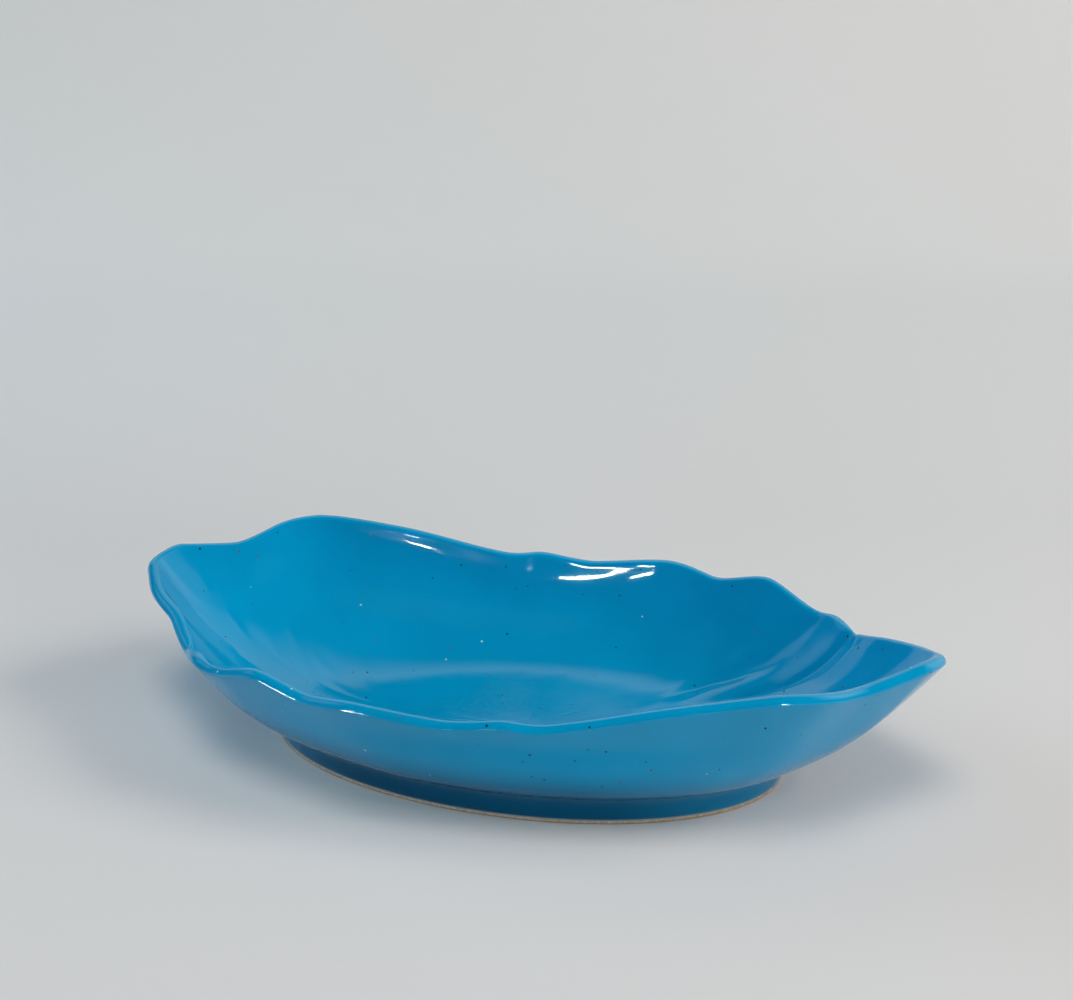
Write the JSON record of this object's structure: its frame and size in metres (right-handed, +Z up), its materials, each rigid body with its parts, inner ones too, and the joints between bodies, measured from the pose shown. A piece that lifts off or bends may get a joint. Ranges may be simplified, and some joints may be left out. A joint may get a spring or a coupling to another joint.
{
  "type": "serving platter",
  "caption": "Lobed, boat-shaped stoneware serving platter with a rolled wavy rim, a glossy glaze and a low oval foot ring with a bare clay edge.",
  "frame": {"origin": "centre of the platter's outline, on the surface that the foot ring stands on", "axes": "+X along the platter from tip to tip, +Y across it, +Z up"},
  "size_m": [0.3772, 0.2016, 0.0738],
  "materials": {
    "clay": "bare fired stoneware, matt",
    "glaze": "glossy blue glaze with fine dark specks"
  },
  "bodies": {
    "root": {"clay_dish": "clay", "foot_ring": "clay", "glaze_coat": "glaze", "base_glaze": "glaze"}
  },
  "joints": []
}
